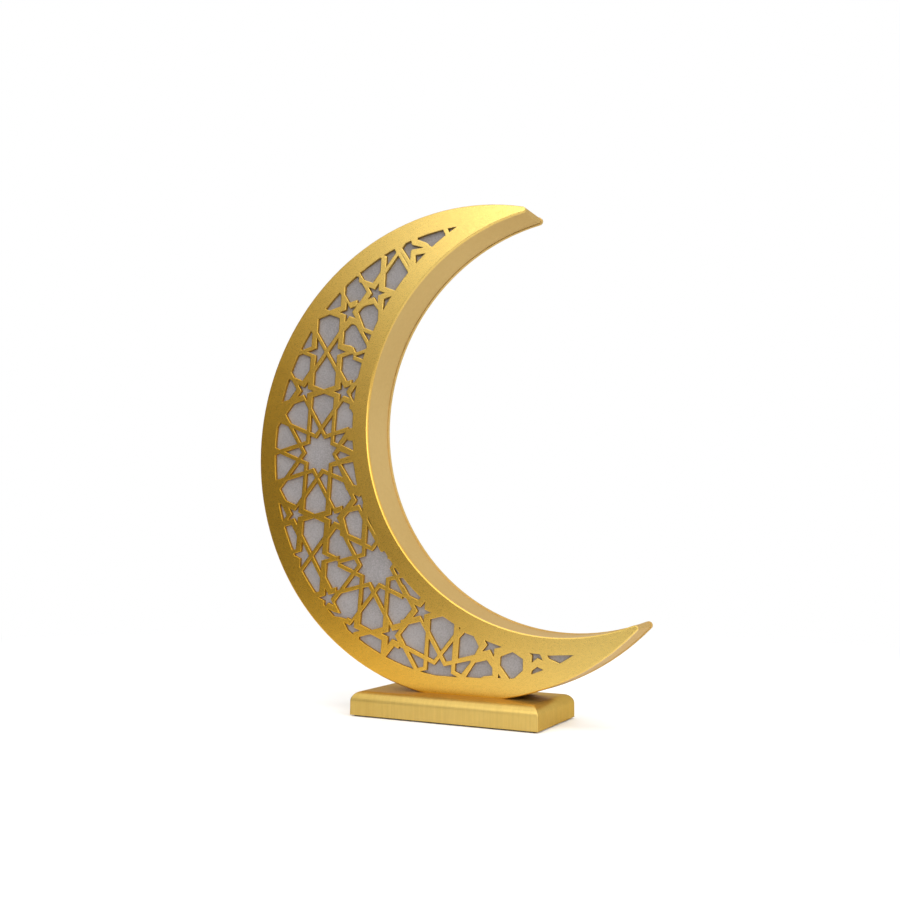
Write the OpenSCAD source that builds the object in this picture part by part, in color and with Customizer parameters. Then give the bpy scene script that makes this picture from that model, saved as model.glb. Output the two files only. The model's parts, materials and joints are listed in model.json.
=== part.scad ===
// Crescent moon lantern for Ramadan and Eid, standing on a wooden block.
// A pierced front panel with ten-fold star lattice closes a shallow box; a frosted sheet lies behind
// the lattice, a strip of lamps runs round the wall, and two cells feed it through a rear holder.
// X runs to the right along the face, Y to the back, Z up. The origin is the middle of the underside.

/* [Crescent] */
// Radius of the outer edge
outer_r = 204.3; // [195:0.1:212]
// Radius of the bay between the horns, as a share of the outer radius
bay_share = 0.8453; // [0.83:0.0001:0.86]
// Distance between the two centres, as a share of the outer radius
bay_shift_share = 0.4074; // [0.38:0.0001:0.43]
// Rise of the line through both centres, in degrees
bay_turn_deg = 15.54; // [10:0.01:20]
// Depth of the flat cut off the bottom of the round
foot_cut = 3.6; // [2.5:0.1:5]
// Depth of the box from front face to back face
case_depth = 39.3; // [36:0.1:50]
// Radius of the rounded horn tips
nose_r = 2.5; // [1.5:0.1:4]
// Chamfer on the edges of the front panel
edge_chamfer = 0.8; // [0.3:0.1:1.2]

/* [Base] */
// Width of the block
base_w = 166; // [140:1:200]
// Depth of the block
base_d = 82; // [70:1:110]
// Height of the block's top above the floor
base_h = 20; // [18:0.5:26]
// Rounding of the block's upper edges
base_round = 8; // [4:0.5:12]
// Thickness of the felt under the block
felt_t = 1; // [0.5:0.1:2]
// Distance of the outer circle's centre to the right of the block's middle
crescent_right = 6.8; // [0:0.1:15]
// Distance of the front face ahead of the block's middle
crescent_front = 16.8; // [12:0.1:22]

/* [Sheets and walls] */
// Thickness of the front panel
front_t = 3; // [2.5:0.1:4]
// Thickness of the back panel
back_t = 3; // [2.5:0.1:4]
// How far the back panel stands out past the walls
back_lip = 0.6; // [0.2:0.1:1.5]
// Thickness of the bent side walls
wall_t = 2.5; // [2:0.1:3.5]
// Thickness of the frosted sheet
diffuser_t = 2; // [1:0.1:3]

/* [Lattice] */
// Edge of the decagons and pentagons that carry the pattern, as a share of the outer radius
tile_share = 0.13216; // [0.125:0.0001:0.137]
// Width of the straps
strap_w = 3.3; // [2.6:0.1:3.8]
// Width of the straps round the five-pointed stars
star_strap_w = 5.7; // [4.5:0.1:6.2]
// Tilt of the pattern in degrees
tilt_deg = -3.8; // [-5:0.1:0]
// Plain border along the outer edge
border_outer = 16.5; // [14:0.1:20]
// Plain border along the bay
border_inner = 14.7; // [12:0.1:18]
// Plain border over the foot
border_foot = 14.4; // [12:0.1:18]

/* [Lamps and power] */
// Diameter of a cell
cell_d = 14.5; // [14.2:0.1:14.5]
// Length of a cell with its button
cell_len = 50.5; // [49.5:0.1:51]
// Wall of the cell holder
holder_wall = 1.4; // [1.2:0.1:2]
// Gap round the sliding cover
slide_gap = 0.3; // [0.2:0.05:0.5]
// Travel that frees the cover
cover_travel = 40; // [40:1:46]
// Travel of the switch knob
knob_travel = 4; // [3:0.1:5]
// Number of lamps on the strip
lamp_count = 24; // [12:1:36]

/* [Hidden] */
$fn = 200;

// Overrun of every cut past the face that it goes through
over = 1;
flat_level = foot_cut - outer_r;
centre_z = base_h - flat_level;
flat_half_w = sqrt(pow(outer_r, 2) - pow(flat_level, 2));
inner_r = fine(bay_share * outer_r);
bay_place = polar(bay_shift_share * outer_r, bay_turn_deg);
bay = [fine(bay_place[0]), fine(bay_place[1])];
bay_dist = norm(bay);
bay_turn = atan2(bay[1], bay[0]);
inside_front = front_t + diffuser_t;
inside_back = case_depth - back_t;
inside_depth = inside_back - inside_front;
inside_mid = (inside_front + inside_back) / 2;

// Sizes of the pieces inside
foot_h = 13;
horn_block_len = 36.5;
diffuser_gap = 0.3;
diffuser_top_reach = 15;
diffuser_bottom_reach = 112;
block_w = 14;
// Turns of the screw blocks round the bay's centre, in degrees
block_turns = [128, 158, 188, 214, 240, 270];
screw_r = 1.4;
screw_clear_r = 1.7;
screw_head_r = 3.2;
screw_head_h = 1.8;
screw_len = 16;
base_screw_r = 1.6;
base_screw_clear_r = 2.3;
base_screw_len = 28;
base_head_r = 3.6;
base_head_h = 2.6;
base_sink_r = 4.6;
base_sink_h = 6;
base_screw_side = 25;
felt_margin = 3;

// Cell holder in the back panel
holder_reach_share = 0.745;
holder_turn_deg = 235;
cell_gap = 0.3;
plate_t = 0.6;
spring_len = 5.4;
button_r = 2.75;
button_h = 1;
spring_r = 4.6;
spring_top_r = 3.2;
flange_t = 1.2;
flange_w = 4;
cover_t = 1.8;
lip_t = 1;
lip_w = 2;
cover_lap = 2.9;
rib_h = 0.6;
rib_w = 0.9;
rib_pitch = 2.2;
rib_count = 5;
cell_slot = cell_d + 2 * cell_gap;
holder_in_w = cell_len + spring_len + 2 * plate_t - button_h;
holder_in_h = 2 * cell_slot;
holder_w = holder_in_w + 2 * holder_wall;
holder_h = holder_in_h + 2 * holder_wall;
holder_at = polar(holder_reach_share * outer_r, holder_turn_deg);
holder_x = holder_at[0];
holder_z = centre_z + holder_at[1];
flange_back = case_depth + flange_t;
cover_front = flange_back + slide_gap;
cell_y = cover_front - cell_gap - cell_d / 2;
holder_floor = cell_y - cell_d / 2 - cell_gap;
cover_w = holder_in_w + 2 * cover_lap;
cover_h = holder_in_h + 2 * cover_lap;

// Switch in the back panel
switch_gap = 12;
switch_w = 8;
switch_h = 20;
switch_d = 9;
knob_w = 3.6;
knob_h = 5;
knob_out = 2.2;
knob_root = 3;
knob_gap = 0.3;
switch_x = holder_x + holder_w / 2 + flange_w + switch_gap;
switch_z = holder_z;

// Strip of lamps on the outer wall
tape_t = 1.2;
tape_gap = 0.2;
tape_w = 8;
tape_r = outer_r - wall_t - tape_gap;
tape_start = 100;
tape_end = 240;
lamp_w = 5;
lamp_h = 1.6;
lamp_margin_deg = 4;
lamp_seat = 0.03;
wire_r = 0.7;
wire_bend_r = 0.85;
wire_exit = 4 * wire_r;
lead_seat_r = 2 * wire_r;

// Corners of the pattern lie a tenth of a turn apart
tenth_deg = 36;
half_deg = tenth_deg / 2;
// Pattern sizes that follow from the edge of the tiles
tile_edge = tile_share * outer_r;
edge_mid_r = tile_edge / 2 / tan(half_deg);
line_r = edge_mid_r * cos(2 * tenth_deg);
tip_r = line_r / cos(3 * half_deg);
valley_r = line_r / cos(tenth_deg);
small_tip_r = tile_edge / 2 / tan(tenth_deg);
small_valley_r = small_tip_r * cos(2 * tenth_deg) / cos(tenth_deg);
column_pitch = edge_mid_r + 2 * line_r;
shoulder_drop = line_r * tan(half_deg);
// Distances from a ten-pointed star, as shares of the tiles' edge
petal_top_share = 2.044;
small_star_side_share = 0.737;
crossing_share = 3.348;
petal_top = petal_top_share * tile_edge;
small_star_up = petal_top;
small_star_side = small_star_side_share * tile_edge;
crossing_up = crossing_share * tile_edge;
// Place of the left strip's middle star from the outer centre, as shares of the outer radius
star_place_shares = [-0.6916, -0.0024];
// Places of the strips' stars, to the side and upwards, as shares of the height of a crossing
strip_side_shares = [0, 0.727, 1.466, 2.187];
strip_rise_shares = [0, -1.042, -2.017, -1.021];
// Right seams of the strips from their stars, as shares of the pitch of the columns
strip_seam_shares = [0.416, 0.416, 0.416, -0.24];
// Odd holes that fill the lower horn, their corners as shares of the outer radius
low_hole_shares = [
    [[0.288, -0.8], [0.3015, -0.808], [0.2995, -0.836], [0.323, -0.817], [0.3465, -0.8275], [0.335, -0.8025]],
    [[0.3225, -0.8505], [0.3005, -0.868], [0.298, -0.881], [0.348, -0.861]],
    [[0.363, -0.8055], [0.37, -0.8165], [0.4145, -0.833], [0.47, -0.798]],
    [[0.2203, -0.7998], [0.1688, -0.8209], [0.1664, -0.8552], [0.2056, -0.9036],
        [0.2252, -0.9016], [0.2633, -0.8678], [0.2643, -0.8247]],
    [[0.1596, -0.8864], [0.1586, -0.905], [0.1723, -0.904]]];
// Odd holes that fill the upper horn, and the part of the face kept for them
high_hole_shares = [
    [[-0.2638, 0.882], [-0.2775, 0.8767], [-0.2942, 0.8561], [-0.256, 0.8013],
     [-0.2531, 0.839], [-0.2472, 0.8448], [-0.1933, 0.8478], [-0.2457, 0.8644],
     [-0.2496, 0.8688], [-0.2521, 0.8845]],
    [[-0.2222, 0.9021], [-0.2222, 0.8855], [-0.1997, 0.8762], [-0.1826, 0.8693],
     [-0.1723, 0.862], [-0.1635, 0.8522], [-0.1493, 0.8434], [-0.0861, 0.8776],
     [-0.1072, 0.9241]],
    [[-0.2296, 0.7822], [-0.1816, 0.8228], [-0.231, 0.8194]],
    [[-0.0861, 0.9266], [-0.0715, 0.8943], [-0.0294, 0.8943], [-0.0294, 0.9266]]];
high_part_shares = [[-0.3206, 0.8443], [-0.3005, 0.838], [-0.2506, 0.7597], [0, 0.7597], [0, 1],
    [-0.3206, 1]];
// Odd holes where two strips meet, and the parts of the face kept for them
seam_hole_shares = [
    [[-0.6177, 0.0445], [-0.5967, 0.0367], [-0.558, 0.0861], [-0.6158, 0.0739]],
    [[-0.5169, 0.0044], [-0.5203, 0.0475], [-0.5463, 0.0504], [-0.5516, 0.0573],
     [-0.5756, 0.0303]],
    [[-0.5898, -0.0308], [-0.533, -0.0152], [-0.5884, 0.0069], [-0.605, -0.0113]],
    [[-0.5203, -0.1346], [-0.514, -0.1415], [-0.4973, -0.1415], [-0.5184, -0.0411],
     [-0.5781, -0.0514]],
    [[-0.6265, -0.0871], [-0.5673, -0.1082], [-0.5947, -0.0558], [-0.6251, -0.0607]],
    [[0.0582, -0.8189], [0.0754, -0.7861], [0.0534, -0.7474], [0.0122, -0.7347],
     [-0.0113, -0.7597], [-0.0176, -0.839]],
    [[-0.0103, -0.722], [-0.0059, -0.7176], [-0.0098, -0.7137], [-0.0142, -0.7181]],
    [[0.0808, -0.9099], [0.0954, -0.9016], [0.1351, -0.8962], [0.1346, -0.8664],
     [0.1111, -0.8375], [0.0587, -0.8512], [0.0196, -0.9099]],
    [[-0.5423, 0.4586], [-0.5262, 0.4493], [-0.5203, 0.4371], [-0.514, 0.4254],
     [-0.4606, 0.4395], [-0.4591, 0.4493], [-0.513, 0.5389], [-0.5277, 0.5502],
     [-0.5448, 0.5502], [-0.5751, 0.5228], [-0.5795, 0.4665]],
    [[-0.4758, 0.5311], [-0.4288, 0.512], [-0.418, 0.5321], [-0.4077, 0.556],
     [-0.4068, 0.6006], [-0.4327, 0.6304], [-0.4689, 0.626], [-0.4865, 0.6197],
     [-0.5056, 0.6001]],
    [[-0.5467, -0.3231], [-0.5374, -0.3475], [-0.4719, -0.3715], [-0.4674, -0.2883],
     [-0.49, -0.2472], [-0.537, -0.256], [-0.56, -0.2795]],
    [[-0.5639, -0.1292], [-0.5702, -0.1772], [-0.5423, -0.1772]],
    [[-0.6363, -0.6642], [-0.6079, -0.6951], [-0.5751, -0.6975], [-0.536, -0.7048],
     [-0.536, -0.6862], [-0.5629, -0.6838], [-0.5751, -0.6818], [-0.6021, -0.6765],
     [-0.6265, -0.6667]]];
seam_part_shares = [
    [[-0.6211, 0.0808], [-0.6256, 0.0387], [-0.5952, 0.0269], [-0.6138, -0.0069],
     [-0.5967, -0.0348], [-0.6006, -0.0441], [-0.6304, -0.0524], [-0.6319, -0.095],
     [-0.558, -0.1238], [-0.4895, -0.1503], [-0.4895, 0.1092], [-0.5492, 0.0984]],
    [[-0.0294, -0.8483], [0.0416, -0.8336], [0.0607, -0.8267], [0.0901, -0.7846],
     [0.0646, -0.7396], [0.0059, -0.7132], [-0.0245, -0.7455]],
    [[0.1517, -0.9187], [0.1517, -0.8698], [0.1106, -0.8145], [0.0607, -0.8267],
     [0.0421, -0.8439], [0.0352, -0.8605], [0.0024, -0.9187]],
    [[-0.5433, 0.4371], [-0.5365, 0.4283], [-0.5272, 0.4209], [-0.5169, 0.4165],
     [-0.4528, 0.4347], [-0.4518, 0.4518], [-0.4968, 0.5277], [-0.513, 0.5507],
     [-0.5433, 0.5683], [-0.5839, 0.5228], [-0.5884, 0.4542]],
    [[-0.2697, -0.5884], [-0.2604, -0.5849], [-0.2658, -0.5732], [-0.2726, -0.5766]],
    [[-0.5247, 0.5761], [-0.5233, 0.5644], [-0.4919, 0.5262], [-0.4307, 0.5022],
     [-0.3916, 0.5595], [-0.3926, 0.5986], [-0.4249, 0.6442], [-0.4895, 0.6304]],
    [[-0.5512, -0.3539], [-0.4591, -0.3891], [-0.4513, -0.2849], [-0.4856, -0.2359],
     [-0.5443, -0.2535], [-0.582, -0.3093]],
    [[-0.6437, -0.6593], [-0.6437, -0.6887], [-0.5947, -0.7083], [-0.5864, -0.7058],
     [-0.5864, -0.6667]]];
// Box that the second strip leaves free beside the first one's star, as shares of the outer radius
free_side_shares = [[0.1, -0.15], [0.25, 0.105]];

// Lap of neighbouring strips, so that holes across a seam join
seam_lap = 0.05;
// How far a hole's middle may lie outside the window, as a share of the tiles' edge
reach_share = 0.8;

// Rounded to a hundredth of a millimetre, so that faces that meet share their edges
function fine(v) = round(v * 100) / 100;
function polar(r, a) = [r * cos(a), r * sin(a)];
function turn(p, a) = [p[0] * cos(a) - p[1] * sin(a), p[0] * sin(a) + p[1] * cos(a)];
function unit(v) = v / norm(v);
function left_of(v) = [-v[1], v[0]];
function mean(p) = [for (i = [0:1]) [for (q = p) q[i]] * [for (q = p) 1 / len(p)]];
// Corner b of the outline a, b, c when both edges move inwards
function inset_corner(a, b, c, by) =
    let (m = left_of(unit(b - a)), n = left_of(unit(c - b)))
    b + by * (m + n) / (1 + m * n);
function inset(p, by) =
    [for (i = [0:len(p) - 1]) inset_corner(p[(i + len(p) - 1) % len(p)], p[i], p[(i + 1) % len(p)], by)];
function moved(p, by) = [for (q = p) q + by];
function turned(p, a) = [for (q = p) turn(q, a)];

// Holes of the lattice, each drawn anticlockwise round its own middle line
star_hole = inset([for (k = [0:19]) polar(k % 2 == 0 ? valley_r : tip_r, half_deg * k)], strap_w / 2);
function kite_hole(t) = inset([polar(valley_r, t), polar(tip_r, t - half_deg),
    polar(edge_mid_r, t), polar(tip_r, t + half_deg)], strap_w / 2);
// Petal with its point at height low, its sides parting at height side and its roof at height top
function petal(low, side, top) = inset([[0, low], [line_r, side], [line_r, top - shoulder_drop],
    [0, top], [-line_r, top - shoulder_drop], [-line_r, side]], strap_w / 2);
star_petal = petal(tip_r, edge_mid_r * cos(half_deg), petal_top);
crossing_petal = petal(0, line_r * tan(3 * half_deg), crossing_up - small_star_up);
small_star = inset([for (k = [0:9]) polar(k % 2 == 0 ? small_tip_r : small_valley_r, tenth_deg * k)],
    star_strap_w / 2);
// Arrow between the two straps of a crossing
arrow_line = [[0, 0], [line_r, -line_r * tan(3 * half_deg)], [line_r, -shoulder_drop],
    [2 * line_r, 0], [line_r, shoulder_drop], [line_r, line_r * tan(3 * half_deg)]];
arrow = inset(arrow_line, strap_w / 2);

star_cell = concat([star_hole], [for (k = [0:9]) kite_hole(tenth_deg * k)],
    [for (k = [0:9]) turned(star_petal, tenth_deg * (k - 2))]);
crossing_cell = [turned(arrow, 180), crossing_petal, turned(crossing_petal, 180)];
small_star_places = [for (side = [-1, 1], rise = [-1, 1])
    [side * small_star_side, rise * small_star_up, side < 0 ? 0 : 180]];

// Place of strip number k's star, and of a point of that strip, seen from the outer centre
function strip_at(k) = crossing_up * [strip_side_shares[k], strip_rise_shares[k]];
function on_face(k, p) = outer_r * star_place_shares
    + turn(p + strip_at(k), tilt_deg);
function in_window(c) = norm(c) < outer_r - border_outer + reach_share * tile_edge
    && norm(c - bay) > inner_r + border_inner - reach_share * tile_edge
    && c[1] > flat_level + border_foot - reach_share * tile_edge;
function seam_right(k) = strip_seam_shares[k] * column_pitch;
function seam_left(k) = k == 0 ? -outer_r : seam_right(k - 1) + strip_at(k - 1)[0] - strip_at(k)[0];

// Ends of the horns
nose_along = (pow(outer_r - nose_r, 2) - pow(inner_r + nose_r, 2) + pow(bay_dist, 2)) / (2 * bay_dist);
nose_across = sqrt(pow(outer_r - nose_r, 2) - pow(nose_along, 2));
function nose(side) = turn([nose_along, side * nose_across], bay_turn);

// Upright plate: a shape in X and Z, seen from the outer centre, from depth y0 over thickness t
module plate(y0, t) {
    translate([crescent_right, y0 + t - crescent_front, centre_z])
        rotate([90, 0, 0])
            linear_extrude(height = t)
                children();
}

// Round thing along Y at [x, z] from the outer centre, from depth y0 backwards
module along_y(x, z, y0) {
    translate([crescent_right + x, y0 - crescent_front, centre_z + z])
        rotate([-90, 0, 0])
            children();
}

module above(level) {
    translate([-2 * outer_r, level])
        square([4 * outer_r, 4 * outer_r]);
}

module sharp_crescent(by) {
    difference() {
        circle(r = outer_r - by);
        translate(bay)
            circle(r = inner_r + by);
    }
}

module tip_cut(side, grow) {
    n = nose(side);
    a = n + (nose_r + grow) * unit(n);
    b = n + (nose_r + grow) * unit(bay - n);
    e = unit(a - b);
    f = side * [e[1], -e[0]];
    w = 8 * nose_r;
    polygon([b - w * e, a + w * e, a + w * e + w * f, b - w * e + w * f]);
}

// Outline of the crescent with round horn tips and a flat foot
module crescent(grow) {
    intersection() {
        union() {
            difference() {
                sharp_crescent(-grow);
                tip_cut(1, grow);
                tip_cut(-1, grow);
            }
            for (side = [-1, 1])
                translate(nose(side))
                    circle(r = nose_r + grow);
        }
        above(flat_level);
    }
}

module window() {
    intersection() {
        difference() {
            circle(r = outer_r - border_outer);
            translate(bay)
                circle(r = inner_r + border_inner);
        }
        above(flat_level + border_foot);
    }
}

module strip_place(k) {
    translate(on_face(k, [0, 0]))
        rotate(tilt_deg)
            children();
}

module strip_holes(k) {
    intersection() {
        strip_place(k)
            for (i = [-1:1], j = [-2:5])
                for (hole = ((i + j) % 2 == 0) ? star_cell : crossing_cell)
                    let (p = moved(hole, [i * column_pitch, j * crossing_up]))
                        if (in_window(on_face(k, mean(p))))
                            polygon(p);
        difference() {
            strip_place(k)
                translate([seam_left(k), -2 * outer_r])
                    square([seam_right(k) - seam_left(k) + seam_lap, 4 * outer_r]);
            if (k == 1)
                star_side(free_side_shares);
            odd_holes(seam_part_shares);
            if (k > 0)
                strip_arrows(k - 1, true);
        }
    }
}

// Whole small stars of a strip, which the seams don't cut
module strip_stars(k) {
    strip_place(k)
        for (j = [-2:2:4], s = small_star_places)
            let (c = [s[0], s[1] + j * crossing_up])
                if (c[0] < seam_right(k) && in_window(on_face(k, c)))
                    translate(c)
                        polygon(turned(small_star, s[2]));
}

// Whole arrows at the right of a strip's crossings, or with wide set their straps with round ends
module strip_arrows(k, wide) {
    r = strap_w / 2;
    strip_place(k)
        for (j = [-1:2:5])
            if (seam_right(k) > 0 && in_window(on_face(k, [line_r, j * crossing_up])))
                translate([0, j * crossing_up])
                    if (wide) {
                        for (side = [-1, 1])
                            hook_strap([line_r, side * shoulder_drop], [2 * line_r, 0], r);
                        translate([2 * line_r, 0])
                            circle(r = r);
                    } else {
                        polygon(arrow);
                    }
}

// Straight strap from a to b with half its width given
module hook_strap(a, b, half_w) {
    n = half_w * left_of(unit(b - a));
    polygon([a - n, b - n, b + n, a + n]);
}

module odd_holes(list) {
    for (hole = list)
        polygon(outer_r * hole);
}

// Box between two corners, seen from the left strip's star
module star_side(box) {
    strip_place(0)
        translate(outer_r * box[0])
            square(outer_r * (box[1] - box[0]));
}

// All holes of the lattice
module lattice() {
    intersection() {
        window();
        union() {
            difference() {
                for (k = [0:len(strip_side_shares) - 1]) {
                    strip_holes(k);
                    strip_stars(k);
                    strip_arrows(k, false);
                }
                polygon(outer_r * high_part_shares);
            }
            odd_holes(high_hole_shares);
            odd_holes(seam_hole_shares);
        }
    }
    odd_holes(low_hole_shares);
}

module front_panel() {
    color("goldenrod")
        difference() {
            plate(0, front_t)
                difference() {
                    crescent(0);
                    lattice();
                }
            // chamfer along the bay
            along_y(bay[0], bay[1], -over)
                cylinder(h = edge_chamfer + over, r1 = inner_r + edge_chamfer + over, r2 = inner_r);
            // chamfer along the outer edge
            difference() {
                along_y(0, 0, -over)
                    cylinder(h = edge_chamfer + over, r = outer_r + over);
                along_y(0, 0, -over)
                    cylinder(h = edge_chamfer + over, r1 = outer_r - edge_chamfer - over, r2 = outer_r);
            }
        }
}

module diffuser_sheet() {
    color("gainsboro")
        plate(front_t, diffuser_t)
            intersection() {
                sharp_crescent(wall_t + diffuser_gap);
                above(flat_level + diffuser_gap);
                union() {
                    translate([-2 * outer_r, 0])
                        square([2 * outer_r + diffuser_top_reach, 2 * outer_r]);
                    translate([-2 * outer_r, -2 * outer_r])
                        square([2 * outer_r + diffuser_bottom_reach, 2 * outer_r]);
                }
            }
}

module half(side) {
    translate([side < 0 ? -4 * outer_r : 0, -2 * outer_r])
        square([4 * outer_r, 4 * outer_r]);
}

// Bent outer board; over the foot its ends butt against the foot block
module outer_board() {
    difference() {
        crescent(0);
        circle(r = outer_r - wall_t);
        translate([-flat_half_w, flat_level - over])
            square([2 * flat_half_w, foot_h + over]);
    }
}

// The left board runs on over the top to the upper horn, the right one ends at the lower horn
module outer_wall_left() {
    color("darkkhaki")
        plate(front_t, inside_back - front_t)
            intersection() {
                outer_board();
                union() {
                    half(-1);
                    above(0);
                }
            }
}

module outer_wall_right() {
    color("darkkhaki")
        plate(front_t, inside_back - front_t)
            intersection() {
                outer_board();
                translate([0, -2 * outer_r])
                    square([2 * outer_r, 2 * outer_r]);
            }
}

module inner_wall() {
    color("darkkhaki")
        plate(front_t, inside_back - front_t)
            intersection() {
                crescent(0);
                circle(r = outer_r - wall_t);
                translate(bay)
                    circle(r = inner_r + wall_t);
            }
}

module horn_block(side) {
    n = nose(side);
    color("burlywood")
        plate(inside_front, inside_depth)
            intersection() {
                sharp_crescent(wall_t);
                translate([n[0] - horn_block_len, n[1] - 2 * horn_block_len])
                    square([2 * horn_block_len, 4 * horn_block_len]);
            }
}

module top_horn_block() {
    horn_block(1);
}

module bottom_horn_block() {
    horn_block(-1);
}

module foot_block() {
    color("burlywood")
        difference() {
            plate(inside_front, inside_depth)
                translate([-flat_half_w, flat_level])
                    square([2 * flat_half_w, foot_h]);
            base_screw_places()
                translate([0, 0, base_h - over])
                    cylinder(h = base_screw_len + over - base_h + felt_t + base_sink_h, r = base_screw_r);
        }
}

module base_screw_places() {
    for (side = [-1, 1])
        translate([crescent_right + side * base_screw_side, inside_mid - crescent_front, 0])
            children();
}

module rounded_top(w) {
    translate([-w / 2, felt_t])
        square([w, base_h - felt_t - base_round]);
    translate([-w / 2 + base_round, felt_t])
        square([w - 2 * base_round, base_h - felt_t]);
    for (side = [-1, 1])
        intersection() {
            translate([side * (w / 2 - base_round), base_h - base_round])
                circle(r = base_round);
            translate([-w / 2, base_h - base_round - over])
                square([w, base_round + over]);
        }
}

module base_block() {
    color("goldenrod")
        difference() {
            intersection() {
                translate([0, base_d / 2, 0])
                    rotate([90, 0, 0])
                        linear_extrude(height = base_d)
                            rounded_top(base_w);
                rotate([90, 0, 90])
                    translate([0, 0, -base_w / 2])
                        linear_extrude(height = base_w)
                            rounded_top(base_d);
            }
            base_screw_places() {
                cylinder(h = base_h + over, r = base_screw_clear_r);
                cylinder(h = felt_t + base_sink_h, r = base_sink_r);
            }
        }
}

module felt_sheet() {
    color("dimgray")
        translate([-base_w / 2 + felt_margin, -base_d / 2 + felt_margin, 0])
            cube([base_w - 2 * felt_margin, base_d - 2 * felt_margin, felt_t]);
}

module base_screws() {
    color("silver")
        base_screw_places()
            translate([0, 0, felt_t + base_sink_h])
                rotate_extrude()
                    polygon([[0, -base_head_h], [base_head_r - base_head_h / 2, -base_head_h],
                        [base_head_r, -base_head_h / 2], [base_head_r, 0], [base_screw_r, 0],
                        [base_screw_r, base_screw_len - 2 * base_screw_r], [0, base_screw_len]]);
}

function block_at(t) = bay + polar(inner_r + wall_t + block_w / 2, t);

module screw_blocks() {
    color("burlywood")
        for (t = block_turns)
            difference() {
                plate(inside_front, inside_depth)
                    difference() {
                        translate(block_at(t))
                            rotate(t)
                                square([2 * block_w, block_w], center = true);
                        translate(bay)
                            circle(r = inner_r + wall_t);
                        translate(bay)
                            difference() {
                                circle(r = inner_r + wall_t + 4 * block_w);
                                circle(r = inner_r + wall_t + block_w);
                            }
                    }
                along_y(block_at(t)[0], block_at(t)[1], case_depth - screw_len)
                    cylinder(h = screw_len, r = screw_r);
            }
}

module back_panel() {
    color("goldenrod")
        difference() {
            plate(inside_back, back_t)
                crescent(back_lip);
            for (t = block_turns) {
                along_y(block_at(t)[0], block_at(t)[1], inside_back - over)
                    cylinder(h = back_t + 2 * over, r = screw_clear_r);
                along_y(block_at(t)[0], block_at(t)[1], case_depth - screw_head_h)
                    cylinder(h = screw_head_h, r1 = screw_clear_r, r2 = screw_head_r);
            }
            plate(inside_back - over, back_t + 2 * over)
                translate([holder_x, holder_z - centre_z])
                    square([holder_w + 2 * slide_gap, holder_h + 2 * slide_gap], center = true);
            plate(inside_back - over, back_t + 2 * over)
                translate([switch_x, switch_z - centre_z])
                    square([knob_w + 2 * knob_gap, knob_h + knob_travel + 2 * knob_gap], center = true);
        }
}

module back_screws() {
    color("silver")
        for (t = block_turns)
            along_y(block_at(t)[0], block_at(t)[1], case_depth - screw_len)
                rotate_extrude()
                    polygon([[0, 0], [screw_r, 2 * screw_r], [screw_r, screw_len - screw_head_h],
                        [screw_clear_r, screw_len - screw_head_h], [screw_head_r, screw_len], [0, screw_len]]);
}

// Box from the middle of the cell holder: width, height, and depth from y0 to y1
module holder_box(w, h, y0, y1) {
    translate([crescent_right + holder_x - w / 2, y0 - crescent_front, holder_z - h / 2])
        cube([w, y1 - y0, h]);
}

module cell_holder() {
    color("dimgray") {
        difference() {
            union() {
                holder_box(holder_w, holder_h, holder_floor - holder_wall, case_depth);
                holder_box(holder_w + 2 * flange_w, holder_h + 2 * flange_w, case_depth, flange_back);
            }
            holder_box(holder_in_w, holder_in_h, holder_floor, flange_back + over);
        }
        // guides with turned-in lips
        for (side = [-1, 1]) {
            guide_in = cover_w / 2 + slide_gap;
            guide_out = holder_w / 2 + flange_w;
            translate([crescent_right + holder_x + (side < 0 ? -guide_out : guide_in), 0, 0])
                translate([0, flange_back - crescent_front, holder_z - holder_h / 2 - flange_w])
                    cube([guide_out - guide_in, cover_t + 2 * slide_gap + lip_t, holder_h + 2 * flange_w]);
            translate([crescent_right + holder_x + (side < 0 ? -guide_out : guide_in - lip_w), 0, 0])
                translate([0, flange_back + cover_t + 2 * slide_gap - crescent_front,
                    holder_z - holder_h / 2 - flange_w])
                    cube([guide_out - guide_in + lip_w, lip_t, holder_h + 2 * flange_w]);
        }
        // stop under the cover
        stop_top = holder_z - cover_h / 2 - slide_gap;
        stop_low = holder_z - holder_h / 2 - flange_w;
        translate([crescent_right + holder_x - cover_w / 2 - slide_gap, flange_back - crescent_front, stop_low])
            cube([cover_w + 2 * slide_gap, cover_t, stop_top - stop_low]);
    }
}

module cell_cover() {
    color("dimgray") {
        holder_box(cover_w, cover_h, cover_front, cover_front + cover_t);
        for (i = [0:rib_count - 1])
            translate([crescent_right + holder_x - cover_w / 6,
                cover_front + cover_t - crescent_front,
                holder_z - cover_h / 3 + i * rib_pitch])
                cube([cover_w / 3, rib_h, rib_w]);
    }
}

// Row 1 is the upper cell with its button to the right, row -1 the lower one, turned round
module cell_rows() {
    for (row = [-1, 1])
        translate([crescent_right + holder_x, cell_y - crescent_front, holder_z + row * cell_slot / 2])
            rotate([0, row * 90, 0])
                children();
}

module cells() {
    color("darkslategray")
        cell_rows()
            translate([0, 0, holder_in_w / 2 - plate_t - cell_len]) {
                cylinder(h = cell_len - button_h, r = cell_d / 2);
                cylinder(h = cell_len, r = button_r);
            }
}

module contact_springs() {
    color("silver")
        cell_rows()
            translate([0, 0, -holder_in_w / 2 + plate_t])
                cylinder(h = holder_in_w - 2 * plate_t - cell_len, r1 = spring_r, r2 = spring_top_r);
}

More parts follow.
